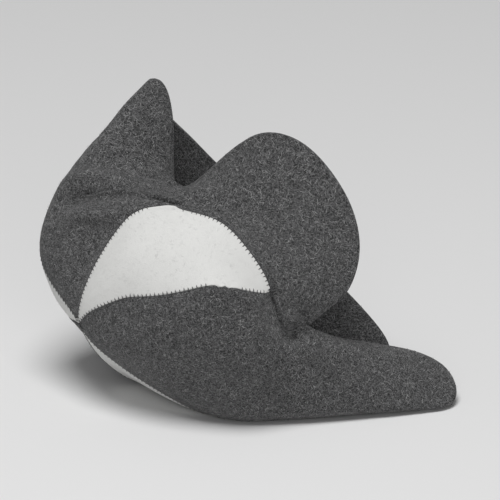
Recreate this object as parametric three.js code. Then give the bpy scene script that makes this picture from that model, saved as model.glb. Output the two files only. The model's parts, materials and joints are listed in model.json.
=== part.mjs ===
// A felt sauna hat lying on its side: three grey felt panels with three off-white felt leaves let in between
// them from the top of the crown to the brow. Past the leaves the grey panels meet each other and flare out
// into an upright corner, a broad upright lobe and a long lobe that lies on the ground.
// Millimetres, +X to the right, +Y to the back, +Z up.

import * as THREE from 'three';

// Driving dimensions.
const HAT_LENGTH = 360; // left side of the crown to the tip of the lying lobe
const HAT_DEPTH = 180; // front of the crown to the back edge
const HAT_HEIGHT = 262; // ground to the tip of the upright corner
const HAT_ROUND = 620; // around the brow
const HAT_RUN = 300; // top of the crown to the free edge
const FELT = 3; // thickness of the felt
const SEAM_GAP = 0.3; // between two panels that are sewn edge to edge
const CROWN_HOLE = 2.6; // radius at which the six pieces end around the top of the crown
const GROUND_PRESS = 5; // height over which the cloth turns flat where it rests

// Places along a seam, from the top of the crown (0) to the free edge (1).
const LEAF_TIP = 0.62;
const LEAF_ROWS = 20; // rows of the mesh from the top of the crown to the tips of the leaves
const ROW_CROWDING = 1.4; // over 1, those rows lie closer together towards the tips
const LEAF_END = 0.618; // last row of a leaf, just short of its tip
const EDGE_ROWS = 12; // rows from there to the free edge
const LEAF_COLUMNS = 8;
const HALF_THIRD = 1 / 6; // of the way around, from the middle line of a leaf to that of a panel

const GREY_FELT = { color: 0x4a4a4b, roughness: 1, metalness: 0 };
const WHITE_FELT = { color: 0xd8d8d6, roughness: 1, metalness: 0 };

// How far a leaf reaches on the side before and after its middle line, as shares of half a third of the hat.
const PLAIN_LEAF = [
  { along: 0, before: 0.43, after: 0.43 },
  { along: 0.15, before: 0.42, after: 0.42 },
  { along: 0.3, before: 0.38, after: 0.38 },
  { along: 0.4, before: 0.31, after: 0.31 },
  { along: 0.5, before: 0.2, after: 0.2 },
  { along: 0.56, before: 0.11, after: 0.11 },
  { along: LEAF_TIP, before: 0, after: 0 },
];
const FRONT_LEAF = [
  { along: 0, before: 0.16, after: 0.29 },
  { along: 0.1, before: 0.19, after: 0.3 },
  { along: 0.18, before: 0.27, after: 0.32 },
  { along: 0.27, before: 0.31, after: 0.345 },
  { along: 0.35, before: 0.37, after: 0.35 },
  { along: 0.42, before: 0.36, after: 0.325 },
  { along: 0.48, before: 0.29, after: 0.265 },
  { along: 0.54, before: 0.24, after: 0.225 },
  { along: 0.58, before: 0.15, after: 0.19 },
  { along: 0.605, before: 0.07, after: 0.12 },
  { along: LEAF_TIP, before: 0, after: 0 },
];

// How far the seam past a leaf's tip bends to the side before its middle line, in the same shares.
const STRAIGHT_SEAM = [
  { along: LEAF_TIP, before: 0 },
  { along: 1, before: 0 },
];
const FRONT_SEAM = [
  { along: LEAF_TIP, before: 0 },
  { along: 0.655, before: 0.16 },
  { along: 0.69, before: 0.38 },
  { along: 0.725, before: 0.56 },
  { along: 0.765, before: 0.52 },
  { along: 0.815, before: 0.33 },
  { along: 0.87, before: 0.13 },
  { along: 0.93, before: 0.02 },
  { along: 1, before: 0 },
];

// Each panel lies between the leaf of its own row and the next.
const PANELS = [
  { name: 'grey_panel_front', columns: 22 },
  { name: 'grey_panel_top', columns: 28 },
  { name: 'grey_panel_back', columns: 14 },
];
const LEAVES = [
  { name: 'white_leaf_under', around: 0, leaf: PLAIN_LEAF, seam: STRAIGHT_SEAM },
  { name: 'white_leaf_front', around: 1 / 3, leaf: FRONT_LEAF, seam: FRONT_SEAM },
  { name: 'white_leaf_side', around: 2 / 3, leaf: PLAIN_LEAF, seam: STRAIGHT_SEAM },
];

// The top of the crown, where the six pieces meet. All places are shares of the length, depth and height.
const CROWN_TOP = { across: -0.408, back: 0.25, up: 0.28 };
const CROWN_AXIS = new THREE.Vector3(0.9, 0.25, 0.37).normalize();

// Closed sections around the hat. A row's around is its place between the seams, which lie at 0, 1/3 and 2/3.
const CROWN_SECTION = {
  along: 0.3,
  rows: [
    { around: 0, across: -0.3, back: 0.33, up: 0.075 },
    { around: 0.08, across: -0.3, back: 0.16, up: 0.155 },
    { around: 0.167, across: -0.275, back: 0.01, up: 0.26 },
    { around: 0.25, across: -0.265, back: 0.01, up: 0.4 },
    { around: 0.333, across: -0.29, back: 0.1, up: 0.55 },
    { around: 0.405, across: -0.29, back: 0.29, up: 0.69 },
    { around: 0.48, across: -0.4, back: 0.42, up: 0.68 },
    { around: 0.56, across: -0.5, back: 0.5, up: 0.52 },
    { around: 0.667, across: -0.485, back: 0.62, up: 0.33 },
    { around: 0.75, across: -0.42, back: 0.67, up: 0.19 },
    { around: 0.833, across: -0.34, back: 0.65, up: 0.07 },
    { around: 0.92, across: -0.3, back: 0.48, up: 0.02 },
  ],
};

const CHEEK_SECTION = {
  along: 0.46,
  rows: [
    { around: 0, across: -0.14, back: 0.24, up: -0.02 },
    { around: 0.04, across: -0.14, back: 0.1, up: 0.02 },
    { around: 0.08, across: -0.14, back: -0.01, up: 0.1 },
    { around: 0.167, across: -0.14, back: -0.1, up: 0.3 },
    { around: 0.23, across: -0.13, back: -0.1, up: 0.43 },
    { around: 0.28, across: -0.11, back: -0.06, up: 0.51 },
    { around: 0.333, across: -0.09, back: 0.05, up: 0.61 },
    { around: 0.39, across: -0.085, back: 0.21, up: 0.69 },
    { around: 0.43, across: -0.145, back: 0.28, up: 0.705 },
    { around: 0.47, across: -0.21, back: 0.35, up: 0.72 },
    { around: 0.52, across: -0.305, back: 0.43, up: 0.72 },
    { around: 0.565, across: -0.41, back: 0.51, up: 0.74 },
    { around: 0.6, across: -0.455, back: 0.58, up: 0.69 },
    { around: 0.667, across: -0.42, back: 0.77, up: 0.53 },
    { around: 0.75, across: -0.34, back: 0.86, up: 0.34 },
    { around: 0.833, across: -0.22, back: 0.79, up: 0.12 },
    { around: 0.9, across: -0.15, back: 0.6, up: 0 },
    { around: 0.95, across: -0.14, back: 0.42, up: -0.02 },
  ],
};

const BROW_SECTION = {
  along: LEAF_TIP,
  rows: [
    { around: 0, across: 0, back: 0.15, up: -0.02 },
    { around: 0.04, across: 0.01, back: 0, up: 0.005 },
    { around: 0.08, across: 0.015, back: -0.06, up: 0.09 },
    { around: 0.167, across: 0.015, back: -0.12, up: 0.29 },
    { around: 0.26, across: 0.02, back: -0.07, up: 0.415 },
    { around: 0.333, across: 0.05, back: 0.03, up: 0.47 }, // tip of the front leaf
    { around: 0.36, across: 0.035, back: 0.06, up: 0.54 },
    { around: 0.39, across: 0.01, back: 0.12, up: 0.6 },
    { around: 0.43, across: -0.035, back: 0.24, up: 0.65 },
    { around: 0.49, across: -0.1, back: 0.36, up: 0.665 },
    { around: 0.54, across: -0.19, back: 0.45, up: 0.69 },
    { around: 0.58, across: -0.31, back: 0.55, up: 0.75 },
    { around: 0.615, across: -0.405, back: 0.66, up: 0.765 },
    { around: 0.667, across: -0.37, back: 0.85, up: 0.66 },
    { around: 0.75, across: -0.27, back: 0.9, up: 0.48 },
    { around: 0.833, across: -0.11, back: 0.83, up: 0.2 },
    { around: 0.88, across: -0.04, back: 0.7, up: 0.03 },
    { around: 0.93, across: 0, back: 0.47, up: -0.02 },
  ],
};

const EDGE_SECTION = {
  along: 1,
  rows: [
    { around: 0, across: 0.31, back: 0.47, up: 0 }, // notch behind the lying lobe
    { around: 0.03, across: 0.345, back: 0.28, up: 0 },
    { around: 0.06, across: 0.415, back: 0.14, up: 0.004 },
    { around: 0.085, across: 0.478, back: 0.155, up: 0.015 },
    { around: 0.105, across: 0.501, back: 0.235, up: 0.034 }, // tip of the lying lobe
    { around: 0.13, across: 0.48, back: 0.335, up: 0.09 },
    { around: 0.165, across: 0.41, back: 0.37, up: 0.142 },
    { around: 0.22, across: 0.29, back: 0.3, up: 0.2 },
    { around: 0.28, across: 0.2, back: 0.19, up: 0.256 },
    { around: 0.333, across: 0.14, back: 0.11, up: 0.318 }, // notch under the upright lobe
    { around: 0.35, across: 0.178, back: 0.1, up: 0.373 },
    { around: 0.375, across: 0.236, back: 0.167, up: 0.427 },
    { around: 0.405, across: 0.264, back: 0.267, up: 0.558 },
    { around: 0.435, across: 0.232, back: 0.367, up: 0.708 },
    { around: 0.465, across: 0.14, back: 0.456, up: 0.858 },
    { around: 0.495, across: 0.035, back: 0.511, up: 0.895 }, // top of the upright lobe
    { around: 0.522, across: -0.05, back: 0.567, up: 0.808 },
    { around: 0.545, across: -0.133, back: 0.622, up: 0.68 },
    { around: 0.56, across: -0.18, back: 0.667, up: 0.645 }, // valley between the lobe and the corner
    { around: 0.585, across: -0.181, back: 0.733, up: 0.827 },
    { around: 0.605, across: -0.192, back: 0.778, up: 0.945 },
    { around: 0.618, across: -0.21, back: 0.806, up: 0.992 },
    { around: 0.63, across: -0.236, back: 0.83, up: 1.001 }, // tip of the upright corner
    { around: 0.667, across: -0.22, back: 0.89, up: 0.88 },
    { around: 0.71, across: -0.153, back: 0.933, up: 0.77 },
    { around: 0.76, across: -0.083, back: 0.956, up: 0.654 },
    { around: 0.82, across: 0.08, back: 0.878, up: 0.438 },
    { around: 0.88, across: 0.233, back: 0.75, up: 0.25 },
    { around: 0.93, across: 0.335, back: 0.62, up: 0.11 },
    { around: 0.97, across: 0.34, back: 0.54, up: 0.03 },
  ],
};

// Folds of the cloth between two places, each place given around and along the hat. A height over 0 is a
// ridge and under 0 a valley, and height and width are in thicknesses of the felt.
const FOLDS = [
  { fold: 'pinch beside the front leaf', height: -1.5, width: 2.6, from: [0.43, 0.345], to: [0.395, 0.415] },
  { fold: 'lip over the front leaf', height: 1.2, width: 2.6, from: [0.4, 0.33], to: [0.385, 0.39] },
  { fold: 'hump under the front leaf', height: 1.8, width: 6, from: [0.28, 0.48], to: [0.285, 0.53] },
  { fold: 'crease below the leaf tip', height: -1.3, width: 3, from: [0.32, 0.64], to: [0.22, 0.705] },
  { fold: 'hollow beside the crease', height: -2, width: 4.5, from: [0.225, 0.755], to: [0.26, 0.79] },
  { fold: 'ledge across the cheek', height: 1.3, width: 3, from: [0.49, 0.255], to: [0.415, 0.265] },
  { fold: 'valley above the cheek', height: -1.1, width: 3, from: [0.5, 0.31], to: [0.44, 0.315] },
];

const place = (row) =>
  new THREE.Vector3(row.across * HAT_LENGTH, row.back * HAT_DEPTH, row.up * HAT_HEIGHT);

// A smooth curve through points at given knots, between the second and the third of four.
function between(knots, points, at) {
  const [k0, k1, k2, k3] = knots;
  const [p0, p1, p2, p3] = points;
  const span = k2 - k1;
  const share = (at - k1) / span;
  const leave = p2.clone().sub(p0).multiplyScalar(span / (k2 - k0));
  const arrive = p3.clone().sub(p1).multiplyScalar(span / (k3 - k1));
  return hermite(p1, leave, p2, arrive, share);
}

function hermite(start, leave, end, arrive, share) {
  const square = share * share;
  const cube = square * share;
  return start
    .clone()
    .multiplyScalar(2 * cube - 3 * square + 1)
    .addScaledVector(leave, cube - 2 * square + share)
    .addScaledVector(end, 3 * square - 2 * cube)
    .addScaledVector(arrive, cube - square);
}

// The point of a closed section at any place around it.
function onSection(section, around) {
  const { rows } = section;
  const count = rows.length;
  const turn = around - Math.floor(around);
  let first = count - 1;
  while (first > 0 && rows[first].around > turn) first -= 1;
  const knots = [];
  const points = [];
  for (let step = -1; step <= 2; step += 1) {
    const index = first + step;
    const lap = Math.floor(index / count);
    const row = rows[index - lap * count];
    knots.push(row.around + lap);
    points.push(place(row));
  }
  return between(knots, points, turn);
}

function pressToGround(height) {
  if (height >= GROUND_PRESS) return height;
  if (height <= -GROUND_PRESS) return 0;
  return (height + GROUND_PRESS) ** 2 / (4 * GROUND_PRESS);
}

const SECTIONS = [CROWN_SECTION, CHEEK_SECTION, BROW_SECTION, EDGE_SECTION];
const KNOTS = [0, ...SECTIONS.map((section) => section.along)];

// The smooth hat without its small folds, from a place around it and a place along it.
function smoothSurface(around, along) {
  const points = [place(CROWN_TOP), ...SECTIONS.map((section) => onSection(section, around))];
  const last = KNOTS.length - 1;
  let first = 0;
  while (first < last - 1 && KNOTS[first + 1] < along) first += 1;
  const span = KNOTS[first + 1] - KNOTS[first];
  const slope = (index) =>
    points[index + 1]
      .clone()
      .sub(points[index - 1])
      .multiplyScalar(span / (KNOTS[index + 1] - KNOTS[index - 1]));
  const chord = points[first + 1].clone().sub(points[first]);
  let leave;
  let arrive;
  if (first === 0) {
    leave = chord.clone().addScaledVector(CROWN_AXIS, -chord.dot(CROWN_AXIS));
    arrive = slope(1);
  } else {
    leave = slope(first);
    arrive = first === last - 1 ? chord.clone().multiplyScalar(2).sub(leave) : slope(first + 1);
  }
  const share = (along - KNOTS[first]) / span;
  return hermite(points[first], leave, points[first + 1], arrive, share);
}

const NUDGE = 0.002; // step around or along the hat over which a slope is taken

function normalOf(shape, around, along) {
  const low = Math.max(along - NUDGE, NUDGE);
  const high = Math.min(along + NUDGE, 1);
  const across = shape(around + NUDGE, along).sub(shape(around - NUDGE, along));
  const down = shape(around, high).sub(shape(around, low));
  return down.cross(across).normalize();
}

// How far a fold lifts the cloth at a place: its height near its line, falling off to nothing beside it.
function foldLift({ height, width, from, to }, around, along) {
  const toMillimetres = ([u, v]) => new THREE.Vector2(u * HAT_ROUND, v * HAT_RUN);
  const start = toMillimetres(from);
  const line = toMillimetres(to).sub(start);
  const way = toMillimetres([around, along]).sub(start);
  const share = THREE.MathUtils.clamp(way.dot(line) / line.lengthSq(), 0, 1);
  const beside = way.addScaledVector(line, -share).length();
  return height * FELT * Math.exp(-((beside / (width * FELT)) ** 2));
}

// The outer surface of the hat.
function surface(around, along) {
  const turn = around - Math.floor(around);
  const point = smoothSurface(turn, along);
  const lift = FOLDS.reduce((sum, fold) => sum + foldLift(fold, turn, along), 0);
  point.addScaledVector(normalOf(smoothSurface, turn, along), lift);
  point.z = pressToGround(point.z);
  return point;
}

// A column of a table at any place along the hat.
function inTable(rows, column, along) {
  let first = 0;
  while (first < rows.length - 2 && rows[first + 1].along < along) first += 1;
  const near = [first - 1, first, first + 1, first + 2].map(
    (index) => rows[THREE.MathUtils.clamp(index, 0, rows.length - 1)],
  );
  const knots = near.map((row) => row.along);
  const points = near.map((row) => new THREE.Vector3(row[column], 0, 0));
  return between(knots, points, along).x;
}

// Where the seams on the two sides of a leaf lie around the hat. Past its tip they are one.
const seamBefore = ({ around, leaf, seam }, along) =>
  around - HALF_THIRD * inTable(along < LEAF_TIP ? leaf : seam, 'before', along);
const seamAfter = ({ around, leaf, seam }, along) =>
  around +
  HALF_THIRD * (along < LEAF_TIP ? inTable(leaf, 'after', along) : -inTable(seam, 'before', along));

// The way from a point of a seam straight into the sheet on one side of it, 1 for the sheet after it.
function intoSheet(seam, along, side) {
  const low = Math.max(along - NUDGE, NUDGE);
  const high = Math.min(along + NUDGE, 1);
  const way = surface(seam(high), high).sub(surface(seam(low), low));
  return normalOf(surface, seam(along), along).cross(way).normalize().multiplyScalar(side);
}

// A sheet of felt between two places around the hat, with its outer and inner faces and its edges.
function feltSheet(leftOf, rightOf, alongs, columns) {
  const rows = alongs.length - 1;
  const outer = [];
  const inner = [];
  for (const along of alongs) {
    const left = leftOf(along);
    const right = rightOf(along);
    for (let column = 0; column <= columns; column += 1) {
      const around = left + ((right - left) * column) / columns;
      const point = surface(around, along);
      const out = normalOf(surface, around, along);
      if (column === 0) point.addScaledVector(intoSheet(leftOf, along, 1), SEAM_GAP / 2);
      if (column === columns) point.addScaledVector(intoSheet(rightOf, along, -1), SEAM_GAP / 2);
      outer.push(point);
      inner.push(point.clone().addScaledVector(out, -FELT));
    }
  }
  const points = outer.concat(inner);
  const triangles = [];
  const quad = (a, b, c, d) => triangles.push(a, b, c, a, c, d);
  const at = (row, column) => row * (columns + 1) + column;
  const below = outer.length;
  for (let row = 0; row < rows; row += 1) {
    for (let column = 0; column < columns; column += 1) {
      const [a, b] = [at(row, column), at(row, column + 1)];
      const [c, d] = [at(row + 1, column + 1), at(row + 1, column)];
      quad(a, d, c, b);
      quad(below + a, below + b, below + c, below + d);
    }
    quad(at(row, 0), below + at(row, 0), below + at(row + 1, 0), at(row + 1, 0));
    const end = at(row, columns);
    const next = at(row + 1, columns);
    quad(end, next, below + next, below + end);
  }
  for (let column = 0; column < columns; column += 1) {
    const [a, b] = [at(0, column), at(0, column + 1)];
    quad(a, b, below + b, below + a);
    const [c, d] = [at(rows, column), at(rows, column + 1)];
    quad(c, below + c, below + d, d);
  }
  const geometry = new THREE.BufferGeometry();
  geometry.setAttribute('position', new THREE.Float32BufferAttribute(points.flatMap((p) => p.toArray()), 3));
  geometry.setIndex(triangles);
  geometry.computeVertexNormals();
  return geometry;
}

function feltPiece(name, geometry, felt) {
  const mesh = new THREE.Mesh(geometry, new THREE.MeshStandardMaterial(felt));
  mesh.name = name;
  return mesh;
}

const firstRow = (CROWN_HOLE / HAT_LENGTH) / CROWN_SECTION.along;
const leafRows = Array.from({ length: LEAF_ROWS }, (_, row) => {
  const left = 1 - row / (LEAF_ROWS - 1);
  return LEAF_END - (LEAF_END - firstRow) * left ** ROW_CROWDING;
});
const edgeRows = Array.from({ length: EDGE_ROWS + 1 }, (_, row) => LEAF_TIP + ((1 - LEAF_TIP) * row) / EDGE_ROWS);

const hat = new THREE.Group();
for (const [index, { name, columns }] of PANELS.entries()) {
  const left = (along) => seamAfter(LEAVES[index], along);
  const right = (along) =>
    index < LEAVES.length - 1 ? seamBefore(LEAVES[index + 1], along) : 1 + seamBefore(LEAVES[0], along);
  hat.add(feltPiece(name, feltSheet(left, right, [...leafRows, ...edgeRows], columns), GREY_FELT));
}
for (const leaf of LEAVES) {
  const left = (along) => seamBefore(leaf, along);
  const right = (along) => seamAfter(leaf, along);
  hat.add(feltPiece(leaf.name, feltSheet(left, right, leafRows, LEAF_COLUMNS), WHITE_FELT));
}

const box = new THREE.Box3().setFromObject(hat);
const middle = box.getCenter(new THREE.Vector3());
hat.position.set(-middle.x, -middle.y, -box.min.z);

export default hat;
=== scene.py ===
"""A felt sauna hat lying on its side: panels and leaves with cut edges, stitched seams and loose fibres."""

import json
import math
import random

import bmesh
import bpy
from bpy.props import FloatProperty, FloatVectorProperty, IntProperty, PointerProperty
from mathutils import Matrix, Vector
from mathutils.bvhtree import BVHTree
from mathutils.kdtree import KDTree


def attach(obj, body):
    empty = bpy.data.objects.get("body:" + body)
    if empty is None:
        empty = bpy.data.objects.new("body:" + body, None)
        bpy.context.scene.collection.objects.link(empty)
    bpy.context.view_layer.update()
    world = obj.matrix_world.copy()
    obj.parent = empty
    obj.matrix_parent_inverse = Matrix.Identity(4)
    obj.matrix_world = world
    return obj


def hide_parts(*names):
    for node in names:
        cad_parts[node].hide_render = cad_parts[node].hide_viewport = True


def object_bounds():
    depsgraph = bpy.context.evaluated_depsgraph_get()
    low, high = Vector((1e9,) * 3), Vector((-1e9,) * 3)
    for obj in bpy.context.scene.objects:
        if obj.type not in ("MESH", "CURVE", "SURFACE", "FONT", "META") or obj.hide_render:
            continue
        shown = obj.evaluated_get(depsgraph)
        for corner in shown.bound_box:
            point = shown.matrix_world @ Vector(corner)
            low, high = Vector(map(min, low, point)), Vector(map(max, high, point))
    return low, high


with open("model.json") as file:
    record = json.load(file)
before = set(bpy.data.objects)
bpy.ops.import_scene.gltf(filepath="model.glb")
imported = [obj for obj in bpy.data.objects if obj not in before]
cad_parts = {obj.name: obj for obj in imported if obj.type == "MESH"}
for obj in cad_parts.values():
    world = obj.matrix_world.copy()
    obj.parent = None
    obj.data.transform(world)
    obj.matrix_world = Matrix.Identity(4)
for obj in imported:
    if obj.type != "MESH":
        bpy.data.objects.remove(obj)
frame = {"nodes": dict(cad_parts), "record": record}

bl_info = {
    "name": "Felt sauna hat",
    "version": (1, 0, 0),
    "blender": (4, 5, 0),
    "location": "View3D > Sidebar > Sauna hat",
    "description": "Dresses the panels of a felt sauna hat with felt, stitches and loose fibres",
    "category": "Object",
}

MM = 0.001
CAD_LOW, CAD_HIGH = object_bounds()

GREY_NODES = ("grey_panel_front", "grey_panel_top", "grey_panel_back")
WHITE_NODES = ("white_leaf_front", "white_leaf_side", "white_leaf_under")
FELT_THICKNESS = 3 * MM

# Where the nodes' faces meet at more than this, the felt was cut.
CUT_ANGLE = math.radians(48)
CUT_CREASE = 0.86
# And where a cut turns by more than this, it keeps its corner.
CORNER_ANGLE = math.radians(78)
# Edges that go through the felt from one face to the other are shorter than this.
THROUGH_LENGTH = 1.4 * FELT_THICKNESS

# The tip of the upright corner is soft all around, this far down.
SOFT_TIP = 4 * MM

# The camera: the photo's angle, from far away through a long lens, and the width of the view at the hat.
CAMERA_ELEVATION = math.radians(24)
CAMERA_DISTANCE = 6.0
VIEW_WIDTH = 0.4348
VIEW_MIDDLE = (0.0011, 0.1198)  # across, and along the picture's upright, from the frame's origin
PICTURE = 500

# Small folds where the photo shows them, each along a line of points in the picture. Under 0 a fold is a
# groove.
# Height and width are in millimetres, and shade is how dark its bottom is painted: painted shade where the
# fold's shadow falls.
FINE_FOLDS = (
    {
        "fold": "pinch above the front leaf",
        "shade": 1.0,
        "height": -5.0,
        "width": 2.4,
        "line": ((141, 190), (147, 192.5), (154, 195), (164, 198), (173, 200.5), (184, 204)),
    },
    {
        "fold": "lip over the front leaf",
        "shade": 0.0,
        "height": 2.6,
        "width": 2.8,
        "line": ((150, 202), (157, 203), (166, 205.5), (175, 207.5), (182, 207.5)),
    },
    {
        "fold": "crease below the tip of the front leaf",
        "shade": 0.95,
        "height": -3.2,
        "width": 2.0,
        "line": ((271, 292), (273.5, 300), (276.5, 309), (280, 319), (283.5, 331)),
    },
    {
        "fold": "hollow under the upright lobe",
        "shade": 0.4,
        "height": -4.5,
        "width": 7.0,
        "line": ((284, 341), (293, 338), (302, 332)),
    },
    {
        "fold": "ledge across the cheek",
        "shade": 0.0,
        "height": 4.2,
        "width": 6.0,
        "line": ((66, 218), (85, 216), (105, 214.5), (125, 213)),
    },
    {
        "fold": "valley above the cheek",
        "shade": 0.25,
        "height": -3.8,
        "width": 5.5,
        "line": ((66, 199), (85, 197), (105, 195.5), (125, 193.5), (140, 191)),
    },
    {
        "fold": "shelf below the gap of the edge",
        "shade": 0.0,
        "height": 2.4,
        "width": 4.5,
        "line": ((186, 195), (198, 192), (209, 187)),
    },
    {
        "fold": "hump under the front leaf",
        "shade": 0.0,
        "height": 1.2,
        "width": 5.0,
        "line": ((206, 288), (215, 286), (225, 286), (235, 289), (242, 294)),
    },
)
FOLD_STEP = 1.2 * MM
# Folds under this width get a finer mesh, out to this many widths beside them.
NARROW_FOLD = 4 * MM
FINE_REACH = 2.2
# How far a fold moves the felt, in widths beside it and in thicknesses of felt above and below it.
FOLD_REACH = 3
FOLD_DEPTH = 2.2
# A fold has this strength at its ends, and grows to all of it over this share of its length.
END_STRENGTH = 0.25
END_SHARE = 0.2
# How much of a groove's width its painted shade takes.
PAINTED_SHADE_SHARE = 0.7

# Where a fold of the felt hides the stitches, in the picture.
HIDDEN_STITCHES = (
    {"fold": "lip over the front leaf", "across": (148, 181), "down": (195, 222)},
    {"fold": "hump under the front leaf", "across": (207, 242), "down": (270, 300)},
)

# The knot that draws the top of the crown shut, with its threads drawn together this much thicker.
KNOT_THREADS = 12
KNOT_REACH = 3.6 * MM
KNOT_THICKENING = 2.2

# How many loose fibres each piece has, as a share of the most that one piece has.
FIBRE_SHARES = {
    "grey_panel_front": 0.85,
    "grey_panel_top": 1.0,
    "grey_panel_back": 0.6,
    "white_leaf_front": 0.05,
    "white_leaf_side": 0.05,
    "white_leaf_under": 0.05,
}
FIBRE_STEPS = 3
# How deep the ends of a loose fibre are in the felt.
FIBRE_SINK = 0.02 * MM

# The lines of fibres in the felt's colour, each from its own noise, moved aside so that none repeats.
FIBRE_LINES = (
    {"shift": 0.0, "scale": 300.0, "strength": 1.0},
    {"shift": 1.7, "scale": 380.0, "strength": 0.85},
    {"shift": 3.1, "scale": 470.0, "strength": 0.75},
    {"shift": 4.9, "scale": 620.0, "strength": 0.6},
    {"shift": 6.3, "scale": 240.0, "strength": 0.9},
)
SPECKLE_SCALE = 900.0
MOTTLE_SCALE = 70.0
NAP_DEPTH = 0.7 * MM
# Painted shade: the near-black colour that the bottoms of grooves are painted towards.
PAINTED_GROOVE_SHADE_COLOUR = (0.003, 0.003, 0.003)

LIGHT_AIM = (0, 0, 0.1)
FLOOR_HALF = 6.0
FLOOR_DROP = 0.2 * MM
SENSOR_WIDTH = 36  # mm

random.seed(11)


def felt_settings():
    return bpy.context.scene.hat_felt


def stitch_settings():
    return bpy.context.scene.hat_stitches


def fibre_settings():
    return bpy.context.scene.hat_fibres


def stage_settings():
    return bpy.context.scene.hat_stage


# Node groups and materials


def new_group(name, inputs, outputs):
    group = bpy.data.node_groups.new(name, "ShaderNodeTree")
    for label, kind, value in inputs:
        socket = group.interface.new_socket(name=label, in_out="INPUT", socket_type=kind)
        socket.default_value = value
    for label, kind in outputs:
        group.interface.new_socket(name=label, in_out="OUTPUT", socket_type=kind)
    return group


def math_node(tree, operation, first, second=0.0):
    node = tree.nodes.new("ShaderNodeMath")
    node.operation = operation
    for socket, value in zip(node.inputs, (first, second)):
        if isinstance(value, (int, float)):
            socket.default_value = value
        else:
            tree.links.new(value, socket)
    return node.outputs[0]


def mix_node(tree, factor, first, second):
    """A mix of two colours, each a socket or a plain colour."""
    node = tree.nodes.new("ShaderNodeMix")
    node.data_type = "RGBA"
    tree.links.new(factor, node.inputs[0])
    for socket, colour in zip(node.inputs[6:8], (first, second)):
        if isinstance(colour, tuple):
            socket.default_value = (*colour, 1)
        else:
            tree.links.new(colour, socket)
    return node.outputs[2]


def relief_node(tree, height, strength, distance):
    node = tree.nodes.new("ShaderNodeBump")
    node.inputs["Strength"].default_value = strength
    node.inputs["Distance"].default_value = distance
    tree.links.new(height, node.inputs["Height"])
    return node.outputs["Normal"]


def attribute_node(tree, name):
    node = tree.nodes.new("ShaderNodeAttribute")
    node.attribute_name = name
    return node.outputs["Fac"]


def new_material(name, roughness):
    material = bpy.data.materials.new(name)
    material.use_nodes = True
    tree = material.node_tree
    shader = tree.nodes["Principled BSDF"]
    shader.inputs["Roughness"].default_value = roughness
    return material, tree, shader


def ramp_node(tree, value, low, high):
    node = tree.nodes.new("ShaderNodeMapRange")
    node.interpolation_type = "SMOOTHSTEP"
    node.inputs["From Min"].default_value = low
    node.inputs["From Max"].default_value = high
    tree.links.new(value, node.inputs["Value"])
    return node.outputs["Result"]


def noise_node(tree, vector, scale, detail=2.0, roughness=0.5):
    node = tree.nodes.new("ShaderNodeTexNoise")
    node.inputs["Scale"].default_value = scale
    node.inputs["Detail"].default_value = detail
    node.inputs["Roughness"].default_value = roughness
    tree.links.new(vector, node.inputs["Vector"])
    return node


def felt_fibres_group():
    """A mat of thin curly fibres: how pale they make the felt, a soft mottle and the height of the nap."""
    if "Felt fibres" in bpy.data.node_groups:
        return bpy.data.node_groups["Felt fibres"]
    group = new_group(
        "Felt fibres",
        [("Fibre Scale", "NodeSocketFloat", 1.0), ("Fibre Width", "NodeSocketFloat", 0.09)],
        [("Pale", "NodeSocketFloat"), ("Mottle", "NodeSocketFloat"), ("Height", "NodeSocketFloat")],
    )
    nodes, links = group.nodes, group.links
    given = nodes.new("NodeGroupInput")
    made = nodes.new("NodeGroupOutput")
    place = nodes.new("ShaderNodeTexCoord")
    scaled = nodes.new("ShaderNodeVectorMath")
    scaled.operation = "SCALE"
    links.new(place.outputs["Object"], scaled.inputs[0])
    links.new(given.outputs["Fibre Scale"], scaled.inputs["Scale"])
    mat = None
    for row in FIBRE_LINES:
        moved = nodes.new("ShaderNodeVectorMath")
        moved.operation = "ADD"
        moved.inputs[1].default_value = (row["shift"], -row["shift"], 0.5 * row["shift"])
        links.new(scaled.outputs[0], moved.inputs[0])
        noise = noise_node(group, moved.outputs[0], row["scale"], 1.0, 0.4)
        away = math_node(group, "ABSOLUTE", math_node(group, "SUBTRACT", noise.outputs["Fac"], 0.5))
        line = nodes.new("ShaderNodeMapRange")
        line.interpolation_type = "SMOOTHSTEP"
        line.inputs["To Min"].default_value = row["strength"]
        line.inputs["To Max"].default_value = 0.0
        links.new(away, line.inputs["Value"])
        links.new(given.outputs["Fibre Width"], line.inputs["From Max"])
        fibres = line.outputs["Result"]
        mat = fibres if mat is None else math_node(group, "MAXIMUM", mat, fibres)
    speckle = noise_node(group, scaled.outputs[0], SPECKLE_SCALE, 2.0, 0.6).outputs["Fac"]
    mat = math_node(group, "MULTIPLY", mat, ramp_node(group, speckle, 0.3, 0.62))
    mottle = noise_node(group, scaled.outputs[0], MOTTLE_SCALE, 3.0, 0.6)
    height = math_node(group, "ADD", mat, math_node(group, "MULTIPLY", speckle, 0.5))
    links.new(mat, made.inputs["Pale"])
    links.new(mottle.outputs["Fac"], made.inputs["Mottle"])
    links.new(height, made.inputs["Height"])
    return group


def felt_material(name, dark, middle, pale, width, bump, sheen):
    """Felt of two or three shades of wool, with the nap as bump and with painted shade darkening the
    bottoms of grooves.
    """
    material, tree, shader = new_material(name, 0.95)
    shader.inputs["Specular IOR Level"].default_value = 0.15
    shader.inputs["Sheen Weight"].default_value = sheen
    shader.inputs["Sheen Roughness"].default_value = 0.6
    fibres = tree.nodes.new("ShaderNodeGroup")
    fibres.node_tree = felt_fibres_group()
    fibres.inputs["Fibre Width"].default_value = width
    ground = mix_node(tree, ramp_node(tree, fibres.outputs["Mottle"], 0.25, 0.75), dark, middle)
    wool = mix_node(tree, fibres.outputs["Pale"], ground, pale)
    # Painted shade: the wool is mixed towards near black by the painted shade attribute of the folds.
    shaded = mix_node(tree, attribute_node(tree, "painted_groove_shade"), wool, PAINTED_GROOVE_SHADE_COLOUR)
    tree.links.new(shaded, shader.inputs["Base Color"])
    nap = relief_node(tree, fibres.outputs["Height"], bump, NAP_DEPTH)
    tree.links.new(nap, shader.inputs["Normal"])
    return material


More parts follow.
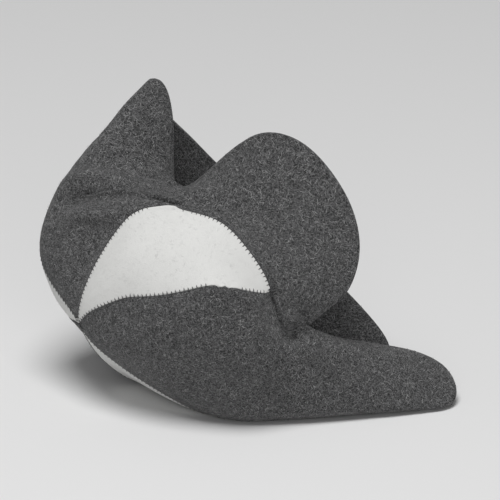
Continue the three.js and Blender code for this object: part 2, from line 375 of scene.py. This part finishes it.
def thread_material(name, dark, pale, roughness):
    """Thread that is darker and paler along its length."""
    material, tree, shader = new_material(name, roughness)
    shader.inputs["Sheen Weight"].default_value = 0.2
    place = tree.nodes.new("ShaderNodeTexCoord")
    noise = noise_node(tree, place.outputs["Object"], 700.0, 2.0, 0.6).outputs["Fac"]
    thread = mix_node(tree, ramp_node(tree, noise, 0.35, 0.65), dark, pale)
    tree.links.new(thread, shader.inputs["Base Color"])
    tree.links.new(relief_node(tree, noise, 0.3, 0.2 * MM), shader.inputs["Normal"])
    return material


# Places in the picture


def view_axes():
    """The picture's directions: ahead, and upright."""
    ahead = Vector((0, math.cos(CAMERA_ELEVATION), -math.sin(CAMERA_ELEVATION)))
    upright = Vector((0, math.sin(CAMERA_ELEVATION), math.cos(CAMERA_ELEVATION)))
    return ahead, upright


def camera_place():
    ahead, upright = view_axes()
    return Vector((VIEW_MIDDLE[0], 0, 0)) + upright * VIEW_MIDDLE[1] - ahead * CAMERA_DISTANCE


def seen_at(tree, across, down):
    """The place and normal of the felt that the camera sees at a point of the picture."""
    _, upright = view_axes()
    scale = VIEW_WIDTH / PICTURE
    aim = Vector((VIEW_MIDDLE[0] + (across - PICTURE / 2) * scale, 0, 0))
    aim += upright * (VIEW_MIDDLE[1] + (PICTURE / 2 - down) * scale)
    start = camera_place()
    hit, normal, _, _ = tree.ray_cast(start, (aim - start).normalized())
    return hit, normal


def picture_of(place):
    """Where in the picture a place is seen, across and down."""
    ahead, upright = view_axes()
    way = place - camera_place()
    scale = VIEW_WIDTH / PICTURE * way.dot(ahead) / CAMERA_DISTANCE
    return PICTURE / 2 + way.x / scale, PICTURE / 2 - way.dot(upright) / scale


# Felt panels


def merged_copy(node):
    """The node's mesh in place, with its loose triangles joined at their corners."""
    source = frame["nodes"][node]
    bm = bmesh.new()
    bm.from_mesh(source.data)
    bmesh.ops.transform(bm, matrix=source.matrix_world, verts=bm.verts)
    bmesh.ops.remove_doubles(bm, verts=bm.verts, dist=0.02 * MM)
    return bm


def is_cut(edge):
    return len(edge.link_faces) == 2 and edge.calc_face_angle() > CUT_ANGLE


def crease_cuts(bm):
    """Keeps the cut edges of the felt crisp through the subdivision, and lets the rim turn softly."""
    crease = bm.edges.layers.float.new("crease_edge")
    soft = CAD_HIGH[2] - SOFT_TIP
    cuts = {edge for edge in bm.edges if is_cut(edge) and min(vert.co.z for vert in edge.verts) < soft}
    for edge in cuts:
        through = all(sum(other in cuts for other in vert.link_edges) > 2 for vert in edge.verts)
        short = edge.calc_length() < THROUGH_LENGTH
        if not (through and short and edge.calc_face_angle() < CORNER_ANGLE):
            edge[crease] = CUT_CREASE
    corner = bm.verts.layers.float.new("crease_vert")
    for vert in bm.verts:
        ways = [edge.other_vert(vert).co - vert.co for edge in vert.link_edges if edge[crease] > 0]
        if vert.co.z < soft and len(ways) == 2 and math.pi - ways[0].angle(ways[1]) > CORNER_ANGLE:
            vert[corner] = 1.0


def finished_piece(name, bm, material):
    mesh = bpy.data.meshes.new(name)
    bm.to_mesh(mesh)
    bm.free()
    mesh.shade_smooth()
    mesh.materials.append(material)
    piece = bpy.data.objects.new(name, mesh)
    bpy.context.scene.collection.objects.link(piece)
    return piece


def subdivide(piece, levels):
    """Applies a subdivision surface, so that what follows works on the fine felt."""
    modifier = piece.modifiers.new("Subdivision", "SUBSURF")
    modifier.levels = levels
    modifier.render_levels = levels
    depsgraph = bpy.context.evaluated_depsgraph_get()
    fine = bpy.data.meshes.new_from_object(piece.evaluated_get(depsgraph))
    piece.modifiers.clear()
    rough = piece.data
    piece.data = fine
    bpy.data.meshes.remove(rough)
    fine.shade_smooth()


def felt_piece(node, material):
    """One node's sheet of felt, in quads where two triangles lie flat enough, and subdivided."""
    bm = merged_copy(node)
    bmesh.ops.join_triangles(
        bm,
        faces=bm.faces,
        angle_face_threshold=math.radians(40),
        angle_shape_threshold=math.radians(60),
    )
    crease_cuts(bm)
    piece = finished_piece(node + "_felt", bm, material)
    subdivide(piece, felt_settings().fineness)
    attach(piece, "root")
    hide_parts(node)


def felt_pieces():
    return [bpy.data.objects[node + "_felt"] for node in GREY_NODES + WHITE_NODES]


def felt_tree(pieces):
    """A tree of the surface of the felt, for finding places on it."""
    bm = bmesh.new()
    for piece in pieces:
        bm.from_mesh(piece.data)
    tree = BVHTree.FromBMesh(bm)
    bm.free()
    return tree


def fold_line(tree, line):
    """Places with normals all along a fold, found on the felt from its line in the picture."""
    places = []
    for (x0, y0), (x1, y1) in zip(line, line[1:]):
        length = math.hypot(x1 - x0, y1 - y0) * VIEW_WIDTH / PICTURE
        count = max(1, round(length / FOLD_STEP))
        for step in range(count):
            share = step / count
            hit, normal = seen_at(tree, x0 + (x1 - x0) * share, y0 + (y1 - y0) * share)
            if hit is not None:
                places.append((hit, normal))
    return places


def fold_felt(pieces, fold):
    """Moves the felt around one small fold, both of its faces together, and paints shade along its bottom
    into a vertex attribute.
    """
    tree = felt_tree(pieces)
    places = fold_line(tree, fold["line"])
    nearest = KDTree(len(places))
    for index, (place, _) in enumerate(places):
        nearest.insert(place, index)
    nearest.balance()
    width = fold["width"] * MM
    height = fold["height"] * MM
    for piece in pieces:
        bm = bmesh.new()
        bm.from_mesh(piece.data)
        painted_groove_shade = bm.verts.layers.float.get("painted_groove_shade") or bm.verts.layers.float.new("painted_groove_shade")
        if width < NARROW_FOLD:
            reach = FINE_REACH * width + FELT_THICKNESS
            close = {vert for vert in bm.verts if nearest.find(vert.co)[2] < reach}
            edges = [edge for edge in bm.edges if close.issuperset(edge.verts)]
            bmesh.ops.subdivide_edges(bm, edges=edges, cuts=1, use_grid_fill=True, smooth=0.5)
        moves = []
        for vert in bm.verts:
            _, index, distance = nearest.find(vert.co)
            if distance > FOLD_REACH * width + FELT_THICKNESS:
                continue
            place, normal = places[index]
            way = vert.co - place
            off = way.dot(normal)
            if abs(off) > FOLD_DEPTH * FELT_THICKNESS:
                continue
            beside = (way - normal * off).length
            from_end = min(index, len(places) - 1 - index) / max(1, END_SHARE * len(places))
            fade = min(1, END_STRENGTH + (1 - END_STRENGTH) * from_end)
            strength = math.exp(-((beside / width) ** 2)) * fade
            moves.append((vert, normal * height * strength))
            # Painted shade along the bottom of the fold, as strong as its shade number, kept for the felt's
            # colour.
            bottom = math.exp(-((beside / (PAINTED_SHADE_SHARE * width)) ** 2)) * fade
            vert[painted_groove_shade] = max(vert[painted_groove_shade], fold["shade"] * bottom)
        for vert, move in moves:
            vert.co += move
        bm.to_mesh(piece.data)
        bm.free()
        piece.data.shade_smooth()


class FeltSettings(bpy.types.PropertyGroup):
    fineness: IntProperty(
        name="Fineness", description="Subdivisions of the felt's surface", default=2, min=1, max=3
    )
    grey_dark: FloatVectorProperty(
        name="Dark wool",
        description="Darkest wool of the grey felt",
        default=(0.012, 0.012, 0.0125),
        subtype="COLOR",
        size=3,
    )
    grey_middle: FloatVectorProperty(
        name="Middle wool",
        description="Middle shade of the grey felt",
        default=(0.02, 0.02, 0.0205),
        subtype="COLOR",
        size=3,
    )
    grey_pale: FloatVectorProperty(
        name="Pale wool",
        description="Pale fibres of the grey felt",
        default=(0.165, 0.165, 0.167),
        subtype="COLOR",
        size=3,
    )
    white_wool: FloatVectorProperty(
        name="White wool",
        description="Wool of the white leaves",
        default=(0.7, 0.7, 0.685),
        subtype="COLOR",
        size=3,
    )
    white_shade: FloatVectorProperty(
        name="White shade",
        description="Darker mottle of the white leaves",
        default=(0.66, 0.66, 0.645),
        subtype="COLOR",
        size=3,
    )


class HAT_OT_grey_panels(bpy.types.Operator):
    """Makes the three grey felt panels"""

    bl_idname = "hat.grey_panels"
    bl_label = "Grey panels"

    def execute(self, context):
        felt = felt_settings()
        material = felt_material(
            "Grey melange felt",
            tuple(felt.grey_dark),
            tuple(felt.grey_middle),
            tuple(felt.grey_pale),
            width=0.07,
            bump=0.6,
            sheen=0.2,
        )
        for node in GREY_NODES:
            felt_piece(node, material)
        return {"FINISHED"}


class HAT_OT_white_leaves(bpy.types.Operator):
    """Makes the three white felt leaves"""

    bl_idname = "hat.white_leaves"
    bl_label = "White leaves"

    def execute(self, context):
        felt = felt_settings()
        material = felt_material(
            "Off-white felt",
            tuple(felt.white_shade),
            tuple(felt.white_wool),
            tuple(felt.white_wool),
            width=0.12,
            bump=0.18,
            sheen=0.15,
        )
        for node in WHITE_NODES:
            felt_piece(node, material)
        return {"FINISHED"}


class HAT_OT_fine_folds(bpy.types.Operator):
    """Presses the small folds into the felt around the front leaf"""

    bl_idname = "hat.fine_folds"
    bl_label = "Fine folds"

    def execute(self, context):
        for fold in FINE_FOLDS:
            fold_felt(felt_pieces(), fold)
        return {"FINISHED"}


# Seams


def smooth_regions(bm):
    """The faces of a closed sheet in groups that are divided by its cut edges, largest first."""
    bm.faces.ensure_lookup_table()
    seen = set()
    regions = []
    for start in bm.faces:
        if start in seen:
            continue
        seen.add(start)
        region = []
        waiting = [start]
        while waiting:
            face = waiting.pop()
            region.append(face)
            for edge in face.edges:
                if is_cut(edge):
                    continue
                for other in edge.link_faces:
                    if other not in seen:
                        seen.add(other)
                        waiting.append(other)
        regions.append(region)
    regions.sort(key=lambda faces: -sum(face.calc_area() for face in faces))
    return regions


def outline_of(region):
    """The corners around a region, in order, with the normal of the region beside each."""
    inside = set(region)
    following = {}
    for face in region:
        for loop in face.loops:
            others = [other for other in loop.edge.link_faces if other is not face]
            if not others or others[0] not in inside:
                following[loop.vert] = (loop.link_loop_next.vert, face.normal.copy())
    start = next(iter(following))
    outline = []
    corner = start
    while True:
        after, normal = following[corner]
        outline.append((corner.co.copy(), normal))
        corner = after
        if corner is start or corner not in following:
            return outline


def faces_out(region, middle):
    facing = (face.calc_area() * face.normal.dot(face.calc_center_median() - middle) for face in region)
    return sum(facing) > 0


def leaf_seams(node):
    """The seams of a leaf, two outside and two inside, each from the top of the crown to the tip."""
    bm = merged_copy(node)
    middle = hollow_middle()
    seams = []
    for region in smooth_regions(bm)[:2]:
        outside = faces_out(region, middle)
        outline = outline_of(region)
        top = crown_top()
        nearest = min(range(len(outline)), key=lambda index: (outline[index][0] - top).length)
        turned = outline[nearest:] + outline[:nearest]
        farthest = max(range(len(turned)), key=lambda index: (turned[index][0] - top).length)
        centre = sum((face.calc_center_median() for face in region), Vector()) / len(region)
        seams.append((outside, turned[: farthest + 1], centre))
        seams.append((outside, [turned[0]] + turned[:farthest - 1:-1], centre))
    bm.free()
    return seams


def hollow_middle():
    low, high = frame["record"]["physics"]["openings"][0]["box_m"]
    return (Vector(low) + Vector(high)) / 2


def crown_top():
    """The point where the three leaves come closest to each other."""
    clouds = []
    for node in WHITE_NODES:
        bm = merged_copy(node)
        clouds.append([vert.co.copy() for vert in bm.verts])
        bm.free()
    first, second = min(
        ((a, b) for a in clouds[0] for b in clouds[1]), key=lambda pair: (pair[0] - pair[1]).length
    )
    return (first + second) / 2


def along_line(points, step):
    """Places every step along a line of (place, normal), with their normals and directions."""
    made = []
    left = step / 2
    for (start, normal), (end, after) in zip(points, points[1:]):
        span = (end - start).length
        if span < 1e-9:
            continue
        way = (end - start) / span
        while left <= span:
            share = left / span
            made.append((start.lerp(end, share), normal.lerp(after, share).normalized(), way))
            left += step
        left -= span
    return made


def tube_along(bm, points, radius, sides=5):
    """A closed tube through points, each given with a normal of the surface under it."""
    rings = []
    for index, (place, normal) in enumerate(points):
        before = points[max(index - 1, 0)][0]
        after = points[min(index + 1, len(points) - 1)][0]
        way = (after - before).normalized()
        side = way.cross(normal).normalized()
        up = side.cross(way).normalized()
        ring = []
        for corner in range(sides):
            angle = 2 * math.pi * corner / sides
            ring.append(bm.verts.new(place + radius * (math.cos(angle) * side + math.sin(angle) * up)))
        rings.append(ring)
    for first, second in zip(rings, rings[1:]):
        for corner in range(sides):
            following = (corner + 1) % sides
            bm.faces.new((first[corner], first[following], second[following], second[corner]))
    bm.faces.new(list(reversed(rings[0])))
    bm.faces.new(rings[-1])


def is_hidden(place):
    """Whether a fold of the felt hides the stitches at a place on the outside."""
    across, down = picture_of(place)
    for row in HIDDEN_STITCHES:
        (left, right), (above, below) = row["across"], row["down"]
        if left < across < right and above < down < below:
            return True
    return False


def crown_knot(bm, thread):
    """Threads that cross over the small hole where the leaves meet, and draw it shut."""
    top = crown_top()
    out = (top - hollow_middle()).normalized()
    first = out.orthogonal().normalized()
    for index in range(KNOT_THREADS):
        way = Matrix.Rotation(math.pi * index / KNOT_THREADS, 3, out) @ first
        reach = way * random.uniform(0.9, 1.15) * KNOT_REACH
        bulge = out * random.uniform(0.0, 1.0) * thread
        line = [(top - reach, out), (top + bulge, out), (top + reach, out)]
        tube_along(bm, line, KNOT_THICKENING * thread)


def sew_tooth(bm, felt, place, normal, way, inwards):
    """One narrow tooth: the thread goes into the leaf and comes back beside its own hole."""
    # Each row of the path gives how far along the seam, how far into the leaf, and the height in radii.
    stitches = stitch_settings()
    reach = stitches.reach * random.uniform(0.8, 1.12)
    lean = random.uniform(-0.35, 0.35) * MM
    half = stitches.tooth / 2
    path = (
        (-half, -0.55 * reach, 0.4),
        (-0.8 * half, 0.0, 1.0),
        (-0.25 * half, 0.6 * reach, 0.9),
        (0.0, reach, 0.2),
        (0.25 * half, 0.6 * reach, 0.9),
        (0.8 * half, 0.0, 1.0),
        (half, -0.55 * reach, 0.4),
    )
    laid = []
    for along, into, lift in path:
        aside = along + lean * max(into, 0) / reach
        hit, flat, _, _ = felt.find_nearest(place + way * aside + inwards * into)
        if flat.dot(normal) < 0.2:
            flat = normal
        laid.append((hit + flat * stitches.thread * lift, flat))
    tube_along(bm, laid, stitches.thread)


class StitchSettings(bpy.types.PropertyGroup):
    pitch: FloatProperty(
        name="Pitch", description="Length of one zigzag", default=4.0 * MM, unit="LENGTH"
    )
    reach: FloatProperty(
        name="Reach", description="How far a stitch reaches into the leaf", default=2.7 * MM, unit="LENGTH"
    )
    tooth: FloatProperty(
        name="Tooth",
        description="Width of a stitch where it leaves the seam",
        default=1.0 * MM,
        unit="LENGTH",
    )
    thread: FloatProperty(
        name="Thread", description="Radius of the thread", default=0.22 * MM, unit="LENGTH"
    )
    colour: FloatVectorProperty(
        name="Thread colour",
        description="Dark thread of the seams",
        default=(0.05, 0.05, 0.052),
        subtype="COLOR",
        size=3,
    )


class HAT_OT_leaf_stitches(bpy.types.Operator):
    """Sews narrow zigzag stitches along the seams between the leaves and the panels"""

    bl_idname = "hat.leaf_stitches"
    bl_label = "Leaf stitches"

    def execute(self, context):
        stitches = stitch_settings()
        felt = felt_tree(felt_pieces())
        bm = bmesh.new()
        for node in WHITE_NODES:
            for outside, seam, centre in leaf_seams(node):
                for place, normal, way in along_line(seam, stitches.pitch):
                    if outside and is_hidden(place):
                        continue
                    inwards = normal.cross(way).normalized()
                    if inwards.dot(centre - place) < 0:
                        inwards = -inwards
                    sew_tooth(bm, felt, place, normal, way, inwards)
        crown_knot(bm, stitches.thread)
        material = thread_material("Dark thread", tuple(stitches.colour), (0.07, 0.07, 0.072), 0.8)
        piece = finished_piece("leaf_stitches", bm, material)
        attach(piece, "root")
        return {"FINISHED"}


# Loose fibres


class FibreSettings(bpy.types.PropertyGroup):
    count: IntProperty(name="Count", description="Loose fibres on the piece that has most", default=31000)
    stray: FloatProperty(
        name="Stray", description="Share of the fibres that stand off the felt", default=0.1
    )
    length: FloatProperty(
        name="Length", description="Length of a loose fibre", default=3.8 * MM, unit="LENGTH"
    )
    width: FloatProperty(
        name="Width", description="Width of a loose fibre", default=0.2 * MM, unit="LENGTH"
    )


def surface_spots(piece, count):
    """Random places on the surface of a piece, spread evenly by area."""
    mesh = piece.data
    faces = []
    for polygon in mesh.polygons:
        corners = [mesh.vertices[index].co for index in polygon.vertices]
        faces.append((polygon.area, corners, polygon.normal.copy()))
    chosen = random.choices(faces, weights=[face[0] for face in faces], k=count)
    for _, corners, normal in chosen:
        first = random.random()
        second = random.random()
        low = corners[0].lerp(corners[1], first)
        high = corners[-1].lerp(corners[2], first)
        yield low.lerp(high, second), normal


def lay_fibre(corners, faces, tones, felt, start, normal):
    """One curly fibre that follows the felt, a ribbon with its ends in the nap."""
    fibres = fibre_settings()
    way = Vector((random.gauss(0, 1), random.gauss(0, 1), random.gauss(0, 1)))
    way = (way - normal * way.dot(normal)).normalized()
    curl = random.gauss(0, 0.4)
    stand = random.uniform(0.08, 0.4) * MM
    if random.random() < fibres.stray:
        stand = random.uniform(0.6, 1.5) * MM
    step = fibres.length * random.uniform(0.55, 1.35) / FIBRE_STEPS
    half = fibres.width * random.uniform(0.35, 0.65)
    place = start
    ribbon = []
    for index in range(FIBRE_STEPS + 1):
        hit, flat, _, _ = felt.find_nearest(place)
        if flat.dot(normal) < 0.3:
            return
        normal = flat
        lift = stand * math.sin(math.pi * index / FIBRE_STEPS) - FIBRE_SINK
        centre = hit + flat * lift
        side = flat.cross(way).normalized() * half * (1 if 0 < index < FIBRE_STEPS else 0.4)
        for edge in (centre + side, centre - side):
            edge.z = max(edge.z, 0)
            ribbon.append(edge)
        way = Matrix.Rotation(curl + random.gauss(0, 0.2), 3, flat) @ way
        way = (way - flat * way.dot(flat)).normalized()
        place = hit + way * step
    first = len(corners)
    corners.extend(ribbon)
    tones.extend([random.random()] * len(ribbon))
    for index in range(first, first + 2 * FIBRE_STEPS, 2):
        faces.append((index, index + 1, index + 3, index + 2))


def fibre_material(name, dark, pale):
    """Single wool fibres, each darker or paler by its own tone, and most of them dark."""
    material, tree, shader = new_material(name, 0.75)
    shader.inputs["Specular IOR Level"].default_value = 0.2
    tone = math_node(tree, "POWER", attribute_node(tree, "tone"), 2.4)
    tree.links.new(mix_node(tree, tone, dark, pale), shader.inputs["Base Color"])
    return material


def fibre_piece(node, material):
    """The loose fibres of one felt piece."""
    sheet = bpy.data.objects[node + "_felt"]
    felt = felt_tree([sheet])
    corners = []
    faces = []
    tones = []
    for start, normal in surface_spots(sheet, round(fibre_settings().count * FIBRE_SHARES[node])):
        lay_fibre(corners, faces, tones, felt, start, normal)
    mesh = bpy.data.meshes.new(node + "_fibres")
    mesh.from_pydata(corners, [], faces)
    mesh.attributes.new("tone", "FLOAT", "POINT").data.foreach_set("value", tones)
    mesh.shade_smooth()
    mesh.materials.append(material)
    piece = bpy.data.objects.new(node + "_fibres", mesh)
    bpy.context.scene.collection.objects.link(piece)
    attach(piece, "root")


class HAT_OT_loose_fibres(bpy.types.Operator):
    """Scatters loose curly fibres over the felt"""

    bl_idname = "hat.loose_fibres"
    bl_label = "Loose fibres"

    def execute(self, context):
        grey = fibre_material("Grey fibres", (0.015, 0.015, 0.0155), (0.48, 0.48, 0.48))
        white = fibre_material("White fibres", (0.7, 0.7, 0.69), (0.76, 0.76, 0.75))
        for node in GREY_NODES:
            fibre_piece(node, grey)
        for node in WHITE_NODES:
            fibre_piece(node, white)
        return {"FINISHED"}


# Stage


class StageSettings(bpy.types.PropertyGroup):
    floor_colour: FloatVectorProperty(
        name="Floor", description="Colour of the floor", default=(0.8, 0.8, 0.8), subtype="COLOR", size=3
    )
    key_power: FloatProperty(name="Key light", description="Power of the large light above", default=92.0)
    fill_power: FloatProperty(name="Fill light", description="Power of the light in front", default=21.0)
    sky: FloatProperty(name="Sky", description="Strength of the light from all around", default=0.16)


def area_light(name, place, size, power):
    """A round soft light that is aimed at the hat."""
    data = bpy.data.lights.new(name, "AREA")
    data.shape = "DISK"
    data.size = size
    data.energy = power
    light = bpy.data.objects.new(name, data)
    bpy.context.scene.collection.objects.link(light)
    place = Vector(place)
    turn = (Vector(LIGHT_AIM) - place).to_track_quat("-Z", "Y")
    light.matrix_world = Matrix.Translation(place) @ turn.to_matrix().to_4x4()


class HAT_OT_stage(bpy.types.Operator):
    """Sets up the floor, the studio light and the camera"""

    bl_idname = "hat.stage"
    bl_label = "Stage"

    def execute(self, context):
        stage = stage_settings()
        scene = context.scene
        bm = bmesh.new()
        bmesh.ops.create_grid(bm, x_segments=1, y_segments=1, size=FLOOR_HALF)
        floor_material, _, shader = new_material("Pale floor", 0.9)
        shader.inputs["Base Color"].default_value = (*stage.floor_colour, 1)
        shader.inputs["Specular IOR Level"].default_value = 0.1
        floor = finished_piece("floor", bm, floor_material)
        floor.data.transform(Matrix.Translation((0, 0, -FLOOR_DROP)))

        world = bpy.data.worlds.new("Studio")
        world.use_nodes = True
        background = world.node_tree.nodes["Background"]
        background.inputs["Color"].default_value = (1, 1, 1, 1)
        background.inputs["Strength"].default_value = stage.sky
        scene.world = world
        area_light("key", (-0.3, -0.8, 3.4), 1.8, stage.key_power)
        area_light("fill", (0.3, -3.2, 1.3), 2.2, stage.fill_power)

        lens = bpy.data.cameras.new("Camera")
        lens.sensor_width = SENSOR_WIDTH
        lens.lens = SENSOR_WIDTH * CAMERA_DISTANCE / VIEW_WIDTH
        lens.clip_end = 50
        camera = bpy.data.objects.new("Camera", lens)
        scene.collection.objects.link(camera)
        camera.location = camera_place()
        camera.rotation_euler = (math.pi / 2 - CAMERA_ELEVATION, 0, 0)
        scene.camera = camera
        scene.view_settings.view_transform = "Standard"
        return {"FINISHED"}


class HAT_PT_panel(bpy.types.Panel):
    bl_label = "Felt sauna hat"
    bl_idname = "HAT_PT_panel"
    bl_space_type = "VIEW_3D"
    bl_region_type = "UI"
    bl_category = "Sauna hat"

    def draw(self, context):
        for operator in OPERATORS:
            self.layout.operator(operator.bl_idname)
        for group in (felt_settings(), stitch_settings(), fibre_settings(), stage_settings()):
            column = self.layout.column()
            for name in type(group).__annotations__:
                column.prop(group, name)


OPERATORS = (
    HAT_OT_stage,
    HAT_OT_grey_panels,
    HAT_OT_white_leaves,
    HAT_OT_fine_folds,
    HAT_OT_leaf_stitches,
    HAT_OT_loose_fibres,
)
SETTINGS = (
    ("hat_felt", FeltSettings),
    ("hat_stitches", StitchSettings),
    ("hat_fibres", FibreSettings),
    ("hat_stage", StageSettings),
)


def register():
    for name, group in SETTINGS:
        bpy.utils.register_class(group)
        setattr(bpy.types.Scene, name, PointerProperty(type=group))
    for operator in OPERATORS:
        bpy.utils.register_class(operator)
    bpy.utils.register_class(HAT_PT_panel)


def unregister():
    bpy.utils.unregister_class(HAT_PT_panel)
    for operator in reversed(OPERATORS):
        bpy.utils.unregister_class(operator)
    for name, group in reversed(SETTINGS):
        delattr(bpy.types.Scene, name)
        bpy.utils.unregister_class(group)


def main():
    register()
    bpy.ops.hat.stage()
    bpy.ops.hat.grey_panels()
    bpy.ops.hat.white_leaves()
    bpy.ops.hat.fine_folds()
    bpy.ops.hat.leaf_stitches()
    bpy.ops.hat.loose_fibres()


if __name__ == "__main__":
    main()
